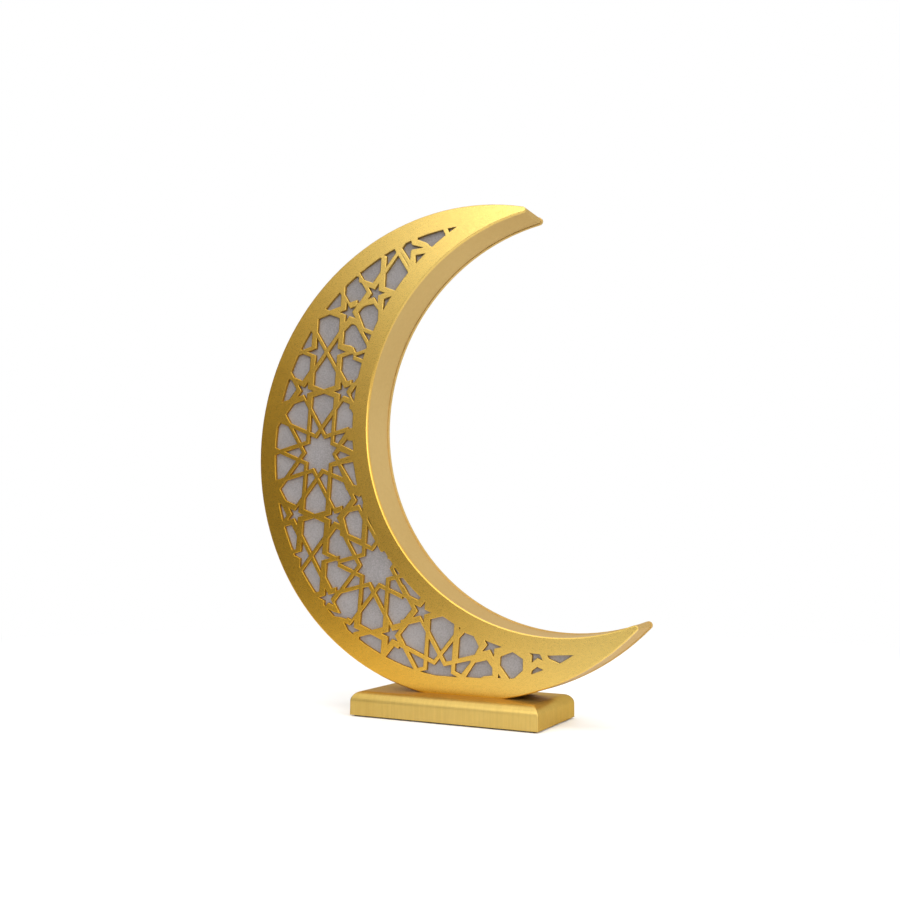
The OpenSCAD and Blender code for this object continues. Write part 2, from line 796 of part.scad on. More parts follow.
module contact_plates() {
    color("silver") {
        // bridge at the right end, two tabs at the left end
        translate([crescent_right + holder_x + holder_in_w / 2 - plate_t,
            cell_y - spring_r - crescent_front, holder_z - cell_slot / 2 - spring_r])
            cube([plate_t, 2 * spring_r, cell_slot + 2 * spring_r]);
        for (row = [-1, 1])
            translate([crescent_right + holder_x - holder_in_w / 2,
                cell_y - spring_r - crescent_front, holder_z + row * cell_slot / 2 - spring_r])
                cube([plate_t, 2 * spring_r, 2 * spring_r]);
    }
}

module switch_body() {
    color("black")
        difference() {
            translate([crescent_right + switch_x - switch_w / 2,
                inside_back - switch_d - crescent_front, switch_z - switch_h / 2])
                cube([switch_w, switch_d, switch_h]);
            translate([crescent_right + switch_x - knob_w / 2 - knob_gap,
                inside_back - knob_root - knob_gap - crescent_front,
                switch_z - knob_h / 2 - knob_travel / 2 - knob_gap])
                cube([knob_w + 2 * knob_gap, knob_root + knob_gap + over, knob_h + knob_travel + 2 * knob_gap]);
            translate(in_case(switch_at - [0, switch_h / 2 + over], lead_y))
                cylinder(h = wire_r + over, r = lead_seat_r);
        }
}

module switch_knob() {
    color("black")
        translate([crescent_right + switch_x - knob_w / 2,
            inside_back - knob_root - crescent_front, switch_z - knob_h / 2 - knob_travel / 2])
            cube([knob_w, knob_root + back_t + knob_out, knob_h]);
}

module lamp_strip() {
    color("whitesmoke")
        plate(inside_mid - tape_w / 2, tape_w)
            intersection() {
                difference() {
                    circle(r = tape_r);
                    circle(r = tape_r - tape_t);
                }
                polygon(concat([[0, 0]], [for (i = [0:3])
                    polar(2 * outer_r, tape_start + (tape_end - tape_start) * i / 3)]));
            }
}

module lamps() {
    first = tape_start + lamp_margin_deg;
    last = tape_end - lamp_margin_deg;
    color("lightyellow")
        for (i = [0:lamp_count - 1])
            plate(inside_mid - lamp_w / 2, lamp_w)
                rotate(first + (last - first) * i / (lamp_count - 1))
                    translate([tape_r - tape_t - lamp_seat - lamp_h / 2, 0])
                        square([lamp_h, lamp_w], center = true);
}

// Wire through the given places, round at each bend
module wire(places) {
    for (i = [0:len(places) - 2]) {
        d = places[i + 1] - places[i];
        translate(places[i])
            rotate([0, acos(d[2] / norm(d)), atan2(d[1], d[0])])
                cylinder(h = norm(d), r = wire_r);
        if (i > 0)
            translate(places[i])
                sphere(r = wire_bend_r);
    }
}

// Place from the outer centre, with its depth from the front face
function in_case(p, y) = [crescent_right + p[0], y - crescent_front, centre_z + p[1]];
holder_low = holder_at - [0, holder_h / 2];
switch_at = [switch_x, switch_z - centre_z];
lead_y = inside_back - switch_d / 2;
wire_y = holder_floor + holder_wall;
tape_foot = polar(tape_r - tape_t - 2 * wire_r, tape_end - lamp_margin_deg / 2);

module wire_black() {
    color("black")
        wire([in_case(holder_low - [cell_d, 0], wire_y),
            in_case(holder_low - [cell_d, wire_exit], wire_y),
            in_case(tape_foot, inside_mid - tape_w / 4)]);
}

module wire_red() {
    color("firebrick")
        wire([in_case(switch_at - [0, switch_h / 2], lead_y),
            in_case([switch_at[0] - switch_h, holder_low[1] - cell_d / 2], lead_y),
            in_case(tape_foot, inside_mid + tape_w / 4)]);
}

module switch_lead() {
    color("firebrick")
        wire([in_case(holder_at + [holder_w / 2, 0], lead_y),
            in_case(switch_at - [switch_w / 2, 0], lead_y)]);
}

base_block();
felt_sheet();
base_screws();
foot_block();
front_panel();
diffuser_sheet();
outer_wall_left();
outer_wall_right();
inner_wall();
top_horn_block();
bottom_horn_block();
screw_blocks();
back_panel();
back_screws();
cell_holder();
cell_cover();
cells();
contact_springs();
contact_plates();
switch_body();
switch_knob();
lamp_strip();
lamps();
wire_black();
wire_red();
switch_lead();
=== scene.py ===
"""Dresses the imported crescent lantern: finishes, small fittings, camera, light and floor."""

import json
import logging
import math
from dataclasses import dataclass
from enum import Enum

import bpy
from mathutils import Matrix, Vector

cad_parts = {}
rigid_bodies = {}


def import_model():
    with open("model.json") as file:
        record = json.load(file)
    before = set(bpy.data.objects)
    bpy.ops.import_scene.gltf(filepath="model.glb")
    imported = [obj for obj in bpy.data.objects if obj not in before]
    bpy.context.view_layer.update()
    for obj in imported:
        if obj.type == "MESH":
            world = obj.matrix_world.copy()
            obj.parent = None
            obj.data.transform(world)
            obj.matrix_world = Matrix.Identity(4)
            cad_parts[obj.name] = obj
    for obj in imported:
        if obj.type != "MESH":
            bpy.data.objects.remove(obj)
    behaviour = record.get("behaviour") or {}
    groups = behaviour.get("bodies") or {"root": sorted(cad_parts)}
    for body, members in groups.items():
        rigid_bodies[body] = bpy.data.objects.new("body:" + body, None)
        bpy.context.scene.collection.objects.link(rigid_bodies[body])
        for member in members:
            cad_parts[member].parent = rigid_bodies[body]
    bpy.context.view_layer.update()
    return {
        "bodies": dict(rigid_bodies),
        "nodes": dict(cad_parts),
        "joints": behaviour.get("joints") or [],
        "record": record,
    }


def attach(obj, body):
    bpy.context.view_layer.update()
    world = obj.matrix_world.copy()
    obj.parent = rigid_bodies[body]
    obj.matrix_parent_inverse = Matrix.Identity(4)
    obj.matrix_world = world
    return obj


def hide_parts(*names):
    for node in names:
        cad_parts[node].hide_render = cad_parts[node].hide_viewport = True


LOG = logging.getLogger("lantern")
MM = 0.001

Rgb = tuple[float, float, float]
Point = tuple[float, float, float]
Span = tuple[float, float]

# Values that most of a noise lies between.
NOISE_SPAN: Span = (0.3, 0.7)
# Samples of the normal that rounds the lacquer over an edge.
EDGE_SAMPLES = 8
# Points closer than this are one point.
WELD = 0.001 * MM
# Faces that turn less than this against each other are one flat face.
FLAT = math.radians(0.5)


class Slot(Enum):
    """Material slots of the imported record."""

    FRONT = "gold_front"
    WALL = "gold_wall"
    BASE = "gold_base"
    BACK = "back"
    TIMBER = "bare_wood"
    FROSTED = "frosted"
    FELT = "felt"
    STEEL = "steel"
    PLASTIC = "black_plastic"
    CELL = "cell"
    TAPE = "tape"
    LAMP = "lamp"
    BLACK_WIRE = "black_wire"
    RED_WIRE = "red_wire"


class MixKind(Enum):
    """What a Mix node mixes, with the places of its factor, A and B inputs and of its output."""

    NUMBER = ("FLOAT", (0, 2, 3), 0)
    COLOUR = ("RGBA", (0, 6, 7), 2)


class Graph:
    """Adds nodes to one shader tree and joins their sockets."""

    def __init__(self, tree: bpy.types.NodeTree) -> None:
        """Keeps the node tree of a material, a group or the world."""
        self.tree = tree

    def add(self, kind: str, **settings: object) -> bpy.types.Node:
        """Adds one node.

        Args:
            kind: the node's class name.
            settings: properties to set on it.

        Returns:
            The new node.
        """
        node = self.tree.nodes.new(kind)
        for key, value in settings.items():
            setattr(node, key, value)
        return node

    def join(self, source: bpy.types.NodeSocket, target: bpy.types.NodeSocket) -> None:
        """Links one output to one input."""
        self.tree.links.new(source, target)

    def feed(self, target: bpy.types.NodeSocket, value: object) -> None:
        """Links an output to an input, or sets the input.

        Args:
            target: the input.
            value: a socket, a number, a vector or a colour without its alpha.
        """
        if isinstance(value, bpy.types.NodeSocket):
            self.join(value, target)
        elif target.type == "RGBA":
            target.default_value = (*value, 1.0)
        else:
            target.default_value = value

    def fill(self, node: bpy.types.Node, values: dict[str, object]) -> None:
        """Feeds inputs of a node by name."""
        for name, value in values.items():
            self.feed(node.inputs[name], value)

    def math(self, operation: str, a: object, b: object = 0.0, c: object = 0.0
             ) -> bpy.types.NodeSocket:
        """Adds a Math node.

        Args:
            operation: the node's operation.
            a: first socket or number.
            b: second socket or number.
            c: third socket or number.

        Returns:
            The result's socket.
        """
        node = self.add("ShaderNodeMath", operation=operation)
        for socket, value in zip(node.inputs, (a, b, c)):
            self.feed(socket, value)
        return node.outputs[0]

    def ramp(self, value: bpy.types.NodeSocket, low: float, high: float,
             to_low: float = 0.0, to_high: float = 1.0) -> bpy.types.NodeSocket:
        """Maps a range of values smoothly onto another.

        Args:
            value: the input.
            low: input that gives to_low.
            high: input that gives to_high.
            to_low: output at the low end.
            to_high: output at the high end.

        Returns:
            The mapped value's socket.
        """
        node = self.add("ShaderNodeMapRange", interpolation_type="SMOOTHSTEP")
        self.fill(node, {"Value": value, "From Min": low, "From Max": high,
                         "To Min": to_low, "To Max": to_high})
        return node.outputs["Result"]

    def mix(self, factor: object, a: object, b: object, kind: MixKind = MixKind.COLOUR,
            blend: str = "MIX") -> bpy.types.NodeSocket:
        """Mixes two colours or numbers.

        Args:
            factor: socket or number.
            a: value or socket at factor 0.
            b: value or socket at factor 1.
            kind: what is mixed.
            blend: the way of mixing.

        Returns:
            The mixed value's socket.
        """
        data_type, inputs, output = kind.value
        node = self.add("ShaderNodeMix", data_type=data_type, blend_type=blend)
        for place, value in zip(inputs, (factor, a, b)):
            self.feed(node.inputs[place], value)
        return node.outputs[output]

    def noise(self, vector: bpy.types.NodeSocket, scale: object, detail: float,
              roughness: float = 0.5) -> bpy.types.NodeSocket:
        """Adds a noise texture and gives its grey output.

        Args:
            vector: coordinates.
            scale: features per metre, as a number or a socket.
            detail: octaves.
            roughness: weight of the finer octaves.

        Returns:
            The grey value's socket.
        """
        node = self.add("ShaderNodeTexNoise")
        self.fill(node, {"Vector": vector, "Scale": scale, "Detail": detail, "Roughness": roughness})
        return node.outputs["Fac"]

    def stretch(self, vector: bpy.types.NodeSocket, scale: Point) -> bpy.types.NodeSocket:
        """Stretches coordinates along each axis with a Mapping node.

        Args:
            vector: coordinates.
            scale: stretch along each axis.

        Returns:
            The new coordinates' socket.
        """
        node = self.add("ShaderNodeMapping")
        self.fill(node, {"Vector": vector, "Scale": scale})
        return node.outputs["Vector"]

    def split(self, vector: bpy.types.NodeSocket) -> tuple[bpy.types.NodeSocket, ...]:
        """Splits a vector into its parts along X, Y and Z.

        Args:
            vector: the vector's socket.

        Returns:
            The sockets of the three parts.
        """
        node = self.add("ShaderNodeSeparateXYZ")
        self.join(vector, node.inputs[0])
        return tuple(node.outputs)


class EffectGroups:
    """Builds each shared shader effect once, as a node group with named sockets."""

    # The finer noise of each effect as a multiple of its coarse one, and the octaves of both.
    GRAIN_FINER, GRAIN_DETAIL = 2.7, 2.0
    TONE_FINER, TONE_DETAIL = 23.0, 3.0
    # Values of the noise over which the tone goes from deep to pale.
    TONE_SPAN: Span = (0.32, 0.68)

    @staticmethod
    def make(name: str, inputs: dict[str, str], outputs: dict[str, str]
             ) -> tuple[bpy.types.NodeTree, Graph, bpy.types.Node, bpy.types.Node]:
        """Starts a group.

        Args:
            name: the group's name.
            inputs: socket type of each named input.
            outputs: socket type of each named output.

        Returns:
            The tree, its graph, and its input and output nodes.
        """
        tree = bpy.data.node_groups.new(name, "ShaderNodeTree")
        for side, sockets in (("INPUT", inputs), ("OUTPUT", outputs)):
            for label, kind in sockets.items():
                tree.interface.new_socket(label, in_out=side, socket_type=kind)
        graph = Graph(tree)
        return tree, graph, graph.add("NodeGroupInput"), graph.add("NodeGroupOutput")

    @staticmethod
    def two_noises(g: Graph, start: bpy.types.Node, share: str, finer: float, detail: float
                   ) -> bpy.types.NodeSocket:
        """Mixes a coarse noise with a finer one.

        Args:
            g: the group's graph.
            start: the group's input node, which has a vector and a scale.
            share: name of the input that gives the finer noise's share.
            finer: the finer noise's scale as a multiple of the coarse one's.
            detail: octaves of both.

        Returns:
            The mixed value's socket.
        """
        vector, scale = start.outputs["Vector"], start.outputs["Scale"]
        coarse = g.noise(vector, scale, detail)
        fine = g.noise(vector, g.math("MULTIPLY", scale, finer), detail)
        return g.mix(start.outputs[share], coarse, fine, MixKind.NUMBER)

    @classmethod
    def grain(cls) -> bpy.types.NodeTree:
        """Fine sprayed grain: a coarse and a fine noise of one height.

        Returns:
            The group's tree.
        """
        name = "sprayed_grain"
        if name in bpy.data.node_groups:
            return bpy.data.node_groups[name]
        tree, g, start, end = cls.make(
            name,
            {"Vector": "NodeSocketVector", "Scale": "NodeSocketFloat", "Fine Share": "NodeSocketFloat"},
            {"Height": "NodeSocketFloat"},
        )
        height = cls.two_noises(g, start, "Fine Share", cls.GRAIN_FINER, cls.GRAIN_DETAIL)
        g.join(height, end.inputs["Height"])
        return tree

    @classmethod
    def tone(cls) -> bpy.types.NodeTree:
        """Slow change between two tones of one finish, with a finer mottle in it.

        Returns:
            The group's tree.
        """
        name = "tone_drift"
        if name in bpy.data.node_groups:
            return bpy.data.node_groups[name]
        tree, g, start, end = cls.make(
            name,
            {"Vector": "NodeSocketVector", "Scale": "NodeSocketFloat", "Mottle": "NodeSocketFloat",
             "Deep": "NodeSocketColor", "Pale": "NodeSocketColor"},
            {"Color": "NodeSocketColor"},
        )
        drift = cls.two_noises(g, start, "Mottle", cls.TONE_FINER, cls.TONE_DETAIL)
        colour = g.mix(g.ramp(drift, *cls.TONE_SPAN), start.outputs["Deep"], start.outputs["Pale"])
        g.join(colour, end.inputs["Color"])
        return tree


@dataclass(frozen=True)
class Finish:
    """Base of all finishes: a named material with a Principled shader and two tones.

    Attributes:
        name: the material's name.
        deep: the darker tone.
        pale: the lighter tone.
    """

    name: str
    deep: Rgb
    pale: Rgb

    def start(self) -> tuple[bpy.types.Material, Graph, bpy.types.Node, bpy.types.NodeSocket]:
        """Makes an empty material.

        Returns:
            The material, its graph, its Principled node and its object coordinates.
        """
        material = bpy.data.materials.new(self.name)
        material.use_nodes = True
        graph = Graph(material.node_tree)
        shader = next(n for n in material.node_tree.nodes if n.type == "BSDF_PRINCIPLED")
        coordinates = graph.add("ShaderNodeTexCoord").outputs["Object"]
        return material, graph, shader, coordinates

    def tone(self, g: Graph, where: bpy.types.NodeSocket, scale: float, mottle: float
             ) -> bpy.types.NodeSocket:
        """Places the shared change between the two tones.

        Args:
            g: the material's graph.
            where: coordinates.
            scale: tones per metre.
            mottle: share of the finer mottle.

        Returns:
            The colour's socket.
        """
        node = g.add("ShaderNodeGroup", node_tree=EffectGroups.tone())
        g.fill(node, {"Vector": where, "Scale": scale, "Mottle": mottle,
                      "Deep": self.deep, "Pale": self.pale})
        return node.outputs["Color"]

    @staticmethod
    def grain(g: Graph, where: bpy.types.NodeSocket, scale: float, fine_share: float
              ) -> bpy.types.NodeSocket:
        """Places the shared grain.

        Args:
            g: the material's graph.
            where: coordinates.
            scale: grains per metre.
            fine_share: share of the finer grains.

        Returns:
            The height's socket.
        """
        node = g.add("ShaderNodeGroup", node_tree=EffectGroups.grain())
        g.fill(node, {"Vector": where, "Scale": scale, "Fine Share": fine_share})
        return node.outputs["Height"]

    @staticmethod
    def bump(g: Graph, shader: bpy.types.Node, height: bpy.types.NodeSocket, strength: float,
             distance: float, rounding: float = 0.0) -> None:
        """Feeds a height into the shader's normal.

        Args:
            g: the material's graph.
            shader: the Principled node.
            height: the height's socket.
            strength: strength of the bump.
            distance: height of the relief in metres.
            rounding: radius of the lacquer over sharp edges in metres.
        """
        node = g.add("ShaderNodeBump")
        g.fill(node, {"Strength": strength, "Distance": distance, "Height": height})
        if rounding > 0:
            edge = g.add("ShaderNodeBevel", samples=EDGE_SAMPLES)
            g.fill(edge, {"Radius": rounding})
            g.join(edge.outputs["Normal"], node.inputs["Normal"])
        g.join(node.outputs["Normal"], shader.inputs["Normal"])


@dataclass(frozen=True)
class GoldLacquer(Finish):
    """Metallic gold lacquer sprayed over board or timber.

    Attributes:
        roughness: mean roughness.
        metallic: share of metal flake.
        streaks: strength of the streaks in the tone.
        coat: weight of the clear coat.
        coat_roughness: roughness of the clear coat.
        grazing: tint of the metal at a grazing angle.
        tone_scale: tones per metre.
        mottle: share of the mottle in the tone.
        grain_scale: grains per metre.
        grain_height: relief of the grain in metres.
        fine_share: share of the finer grains.
        relief: strength of the bump.
        smoother: how far the roughness falls below its mean.
        rougher: how far the roughness rises above its mean.
        stretch: stretch of the streaks along each axis.
        streak_share: streaks per metre as a share of the grains per metre.
        streak_detail: octaves of the streaks.
        streak_roughness: weight of the finer streaks.
        lift_share: how far streaks lighten the tone, as a share of how far they darken it.
        rounding: radius of the lacquer over sharp edges in metres.
        painted_light_tone: painted light, a paler tone towards the right and the top, where the light
            falls.
        painted_light_from: place to the right, in metres at floor level, that the painted light counts
            from.
        painted_light_span: where the painted light starts and ends to grow, in metres from there.
        rise_share: how much a metre upwards counts against a metre to the right.
    """

    roughness: float
    metallic: float
    streaks: float
    coat: float = 0.0
    coat_roughness: float = 0.28
    grazing: Rgb = (0.62, 0.46, 0.30)
    tone_scale: float = 9.0
    mottle: float = 0.25
    grain_scale: float = 700.0
    grain_height: float = 0.06 * MM
    fine_share: float = 0.4
    relief: float = 0.8
    smoother: float = 0.06
    rougher: float = 0.08
    stretch: Point = (1.0, 1.0, 1.0)
    streak_share: float = 0.5
    streak_detail: float = 3.0
    streak_roughness: float = 0.6
    lift_share: float = 0.6
    rounding: float = 0.0
    painted_light_tone: Rgb | None = None
    painted_light_from: float = 0.11
    painted_light_span: Span = (-0.20, 0.08)
    rise_share: float = 0.5

    def tone_with_painted_light(self, g: Graph, where: bpy.types.NodeSocket) -> bpy.types.NodeSocket:
        """Gives the tone of the lacquer, with painted light where there is some: a paler tone towards
        the right and the top.

        Args:
            g: the material's graph.
            where: coordinates.

        Returns:
            The colour's socket.
        """
        colour = self.tone(g, where, self.tone_scale, self.mottle)
        if self.painted_light_tone is None:
            return colour
        # Painted light: the tone turns paler towards the right and the top, where the light falls on the
        # face.
        right, _, up = g.split(where)
        rise = g.math("MULTIPLY_ADD", up, self.rise_share, right)
        return g.mix(g.ramp(g.math("SUBTRACT", rise, self.painted_light_from), *self.painted_light_span), colour, self.painted_light_tone)

    def streak(self, g: Graph, where: bpy.types.NodeSocket) -> bpy.types.NodeSocket:
        """Gives the streaks as a grey that the tone is multiplied by.

        Args:
            g: the material's graph.
            where: coordinates.

        Returns:
            The grey's socket.
        """
        drawn = g.stretch(where, self.stretch)
        noise = g.noise(drawn, self.grain_scale * self.streak_share, self.streak_detail,
                        self.streak_roughness)
        shade = g.ramp(noise, *NOISE_SPAN, 1.0 - self.streaks, 1.0 + self.streaks * self.lift_share)
        grey = g.add("ShaderNodeCombineColor")
        for socket in grey.inputs:
            g.join(shade, socket)
        return grey.outputs[0]

    def build(self) -> bpy.types.Material:
        """Builds the material.

        Returns:
            The finished material.
        """
        material, g, shader, where = self.start()
        colour = g.mix(1.0, self.tone_with_painted_light(g, where), self.streak(g, where), blend="MULTIPLY")
        height = self.grain(g, where, self.grain_scale, self.fine_share)
        roughness = g.ramp(height, *NOISE_SPAN, self.roughness - self.smoother,
                           self.roughness + self.rougher)
        g.fill(shader, {"Base Color": colour, "Roughness": roughness, "Metallic": self.metallic,
                        "Coat Weight": self.coat, "Coat Roughness": self.coat_roughness,
                        "Specular Tint": self.grazing})
        self.bump(g, shader, height, self.relief, self.grain_height, self.rounding)
        return material


@dataclass(frozen=True)
class FrostedSheet(Finish):
    """Frosted sheet behind the lattice, faintly clouded.

    Attributes:
        roughness: its roughness.
        tone_scale: clouds per metre.
        mottle: share of the mottle in the tone.
        grain_scale: grains per metre.
        grain_height: relief of the grain in metres.
        fine_share: share of the finer grains.
        relief: strength of the bump.
    """

    roughness: float = 0.62
    tone_scale: float = 40.0
    mottle: float = 0.7
    grain_scale: float = 1500.0
    grain_height: float = 0.03 * MM
    fine_share: float = 0.5
    relief: float = 0.5

    def build(self) -> bpy.types.Material:
        """Builds the material.

        Returns:
            The finished material.
        """
        material, g, shader, where = self.start()
        colour = self.tone(g, where, self.tone_scale, self.mottle)
        g.fill(shader, {"Base Color": colour, "Roughness": self.roughness})
        height = self.grain(g, where, self.grain_scale, self.fine_share)
        self.bump(g, shader, height, self.relief, self.grain_height)
        return material


@dataclass(frozen=True)
class PlainGoods(Finish):
    """Plastic, timber, felt, sheath and the like: a tone, a grain and a roughness.

    Attributes:
        roughness: mean roughness.
        spread: how far the roughness strays from its mean.
        metallic: share of metal.
        tone_scale: tones per metre.
        mottle: share of the mottle in the tone.
        grain_scale: grains per metre.
        grain_height: relief of the grain in metres.
        fine_share: share of the finer grains.
        relief: strength of the bump.
        stretch: stretch of tone and grain along each axis.
        sheen: weight of the fuzz.
    """

    roughness: float
    spread: float = 0.07
    metallic: float = 0.0
    tone_scale: float = 40.0
    mottle: float = 0.4
    grain_scale: float = 1800.0
    grain_height: float = 0.04 * MM
    fine_share: float = 0.5
    relief: float = 0.8
    stretch: Point = (1.0, 1.0, 1.0)
    sheen: float = 0.0

    def build(self) -> bpy.types.Material:
        """Builds the material.

        Returns:
            The finished material.
        """
        material, g, shader, where = self.start()
        drawn = g.stretch(where, self.stretch)
        colour = self.tone(g, drawn, self.tone_scale, self.mottle)
        height = self.grain(g, drawn, self.grain_scale, self.fine_share)
        roughness = g.ramp(height, *NOISE_SPAN, self.roughness - self.spread,
                           self.roughness + self.spread)
        g.fill(shader, {"Base Color": colour, "Roughness": roughness, "Metallic": self.metallic,
                        "Sheen Weight": self.sheen})
        self.bump(g, shader, height, self.relief, self.grain_height)
        return material


FINISHES: dict[Slot, Finish] = {
    # The front lacquer carries painted light: a paler tone towards the right and the top.
    Slot.FRONT: GoldLacquer("gold_front_lacquer", deep=(0.75, 0.395, 0.022), pale=(0.82, 0.450, 0.034),
                            painted_light_tone=(0.76, 0.53, 0.130), roughness=0.31, metallic=1.0, coat=0.6,
                            grain_scale=1500.0, stretch=(0.55, 1.0, 1.25), streaks=0.06,
                            rounding=0.7 * MM),
    Slot.WALL: GoldLacquer("gold_wall_foil", deep=(0.57, 0.395, 0.150), pale=(0.61, 0.435, 0.175),
                           roughness=0.42, metallic=0.75, grain_height=0.01 * MM, streaks=0.02),
    Slot.BASE: GoldLacquer("gold_base_lacquer", deep=(0.55, 0.375, 0.095), pale=(0.60, 0.42, 0.12),
                           roughness=0.36, metallic=0.9, grain_scale=1200.0, grain_height=0.07 * MM,
                           stretch=(1.0, 0.3, 0.05), streaks=0.055, rounding=1.0 * MM),
    Slot.BACK: GoldLacquer("gold_back_lacquer", deep=(0.62, 0.43, 0.15), pale=(0.68, 0.49, 0.19),
                           roughness=0.45, metallic=0.8, streaks=0.04),
    Slot.TIMBER: PlainGoods("sawn_timber", deep=(0.45, 0.30, 0.17), pale=(0.62, 0.46, 0.29),
                            roughness=0.7, stretch=(0.15, 1.0, 1.0), tone_scale=120.0),
    Slot.FROSTED: FrostedSheet("frosted_sheet", deep=(0.205, 0.190, 0.187), pale=(0.300, 0.278, 0.275)),
    Slot.FELT: PlainGoods("grey_felt", deep=(0.03, 0.028, 0.026), pale=(0.06, 0.055, 0.05),
                          roughness=0.9, grain_height=0.2 * MM, grain_scale=900.0, sheen=0.5),
    Slot.STEEL: PlainGoods("zinc_plate", deep=(0.50, 0.50, 0.49), pale=(0.62, 0.62, 0.60),
                           roughness=0.3, metallic=1.0),
    Slot.PLASTIC: PlainGoods("black_moulding", deep=(0.015, 0.015, 0.016), pale=(0.03, 0.03, 0.032),
                             roughness=0.5),
    Slot.CELL: PlainGoods("cell_sleeve", deep=(0.05, 0.07, 0.09), pale=(0.09, 0.11, 0.13),
                          roughness=0.3, metallic=0.5),
    Slot.TAPE: PlainGoods("tape_board", deep=(0.72, 0.72, 0.70), pale=(0.84, 0.84, 0.82), roughness=0.5),
    Slot.LAMP: PlainGoods("lamp_gel", deep=(0.78, 0.70, 0.35), pale=(0.90, 0.82, 0.45), roughness=0.25),
    Slot.BLACK_WIRE: PlainGoods("black_sheath", deep=(0.02, 0.02, 0.02), pale=(0.04, 0.04, 0.04),
                                roughness=0.45),
    Slot.RED_WIRE: PlainGoods("red_sheath", deep=(0.38, 0.02, 0.02), pale=(0.50, 0.035, 0.03),
                              roughness=0.45),
}


class Wardrobe:
    """Builds each finish once and puts it on pieces."""

    def __init__(self) -> None:
        """Starts with no material built."""
        self.made: dict[Slot, bpy.types.Material] = {}

    def material(self, slot: Slot) -> bpy.types.Material:
        """Gives a slot's material, building it at first use.

        Args:
            slot: the record's slot.

        Returns:
            The material.
        """
        if slot not in self.made:
            self.made[slot] = FINISHES[slot].build()
        return self.made[slot]

    def dress(self, piece: bpy.types.Object, slot: Slot) -> None:
        """Puts a slot's finish on a piece."""
        piece.data.materials.clear()
        piece.data.materials.append(self.material(slot))


@dataclass
class PackedParts:
    """The CAD nodes, which keep their meshes and get their finishes.

    Attributes:
        wardrobe: the finishes.
    """

    wardrobe: Wardrobe

    def dress(self, frame: dict) -> None:
        """Dresses every CAD node by its slot in the record.
        """
        for part in frame["record"]["subparts"]:
            node = frame["nodes"][part["node"]]
            self.wardrobe.dress(node, Slot(part["material_slot"]))
            LOG.info("dressed %s as %s", part["node"], part["material_slot"])


@dataclass
class BackScrews:
    """The countersunk screws of the back, with cross recesses in their heads.

    Attributes:
        wardrobe: the finishes.
        arm: width of the recess's arms in metres.
        reach: length of an arm beyond the middle in metres.
        depth: depth of the recess in metres.
        taper: size of the recess's floor as a share of its mouth.
        face_depth: how far behind the outermost point a point still lies on a head's face.
        head_span: points closer than this belong to one head, in metres.
        side_limit: faces whose normal has less than this along Y are sides of the cutter.
    """

    wardrobe: Wardrobe
    arm: float = 0.8 * MM
    reach: float = 1.1 * MM
    depth: float = 1.3 * MM
    taper: float = 0.45
    face_depth: float = 0.01 * MM
    head_span: float = 8 * MM
    side_limit: float = 0.5

    def heads(self, piece: bpy.types.Object) -> list[Vector]:
        """Finds the middle of each head.

        Args:
            piece: the screws' mesh.

        Returns:
            The middles, on the heads' outer faces.
        """
        outer = max(v.co.y for v in piece.data.vertices)
        groups: list[list[Vector]] = []
        for vertex in piece.data.vertices:
            if vertex.co.y < outer - self.face_depth:
                continue
            near = next((g for g in groups if (g[0] - vertex.co).length < self.head_span), None)
            if near is None:
                groups.append([vertex.co.copy()])
            else:
                near.append(vertex.co.copy())
        return [box_middle(group) for group in groups]

    def recess(self, middle: Vector) -> bpy.types.Object:
        """Makes the cutter of one recess: a tapered cross.

        Args:
            middle: middle of the head's outer face.

        Returns:
            The cutter.
        """
        bpy.ops.object.select_all(action="DESELECT")
        bpy.ops.mesh.primitive_cube_add(size=1.0, location=middle)
        cutter = bpy.context.active_object
        cutter.scale = (self.arm, 2 * self.depth, self.arm)
        bpy.ops.object.transform_apply(location=True, rotation=True, scale=True)
        for part in (*cutter.data.edges, *cutter.data.vertices):
            part.select = False
        for face in cutter.data.polygons:
            face.select = abs(face.normal.y) < self.side_limit
        bpy.ops.object.mode_set(mode="EDIT")
        bpy.ops.mesh.select_mode(type="FACE")
        bpy.ops.mesh.extrude_faces_move(TRANSFORM_OT_shrink_fatten={"value": self.reach})
        bpy.ops.object.mode_set(mode="OBJECT")
        for vertex in cutter.data.vertices:
            if vertex.co.y < middle.y:
                vertex.co.x = middle.x + (vertex.co.x - middle.x) * self.taper
                vertex.co.z = middle.z + (vertex.co.z - middle.z) * self.taper
        return cutter

    def build(self, frame: dict) -> bpy.types.Object:
        """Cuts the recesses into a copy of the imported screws.


        Returns:
            The finished piece.
        """
        node = frame["nodes"]["back_screws"]
        piece = bpy.data.objects.new("back_screw_set", node.data.copy())
        bpy.context.scene.collection.objects.link(piece)
        merge(piece)
        for middle in self.heads(piece):
            cut(piece, self.recess(middle))
        self.wardrobe.dress(piece, Slot.STEEL)
        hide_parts("back_screws")
        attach(piece, "lantern")
        return piece


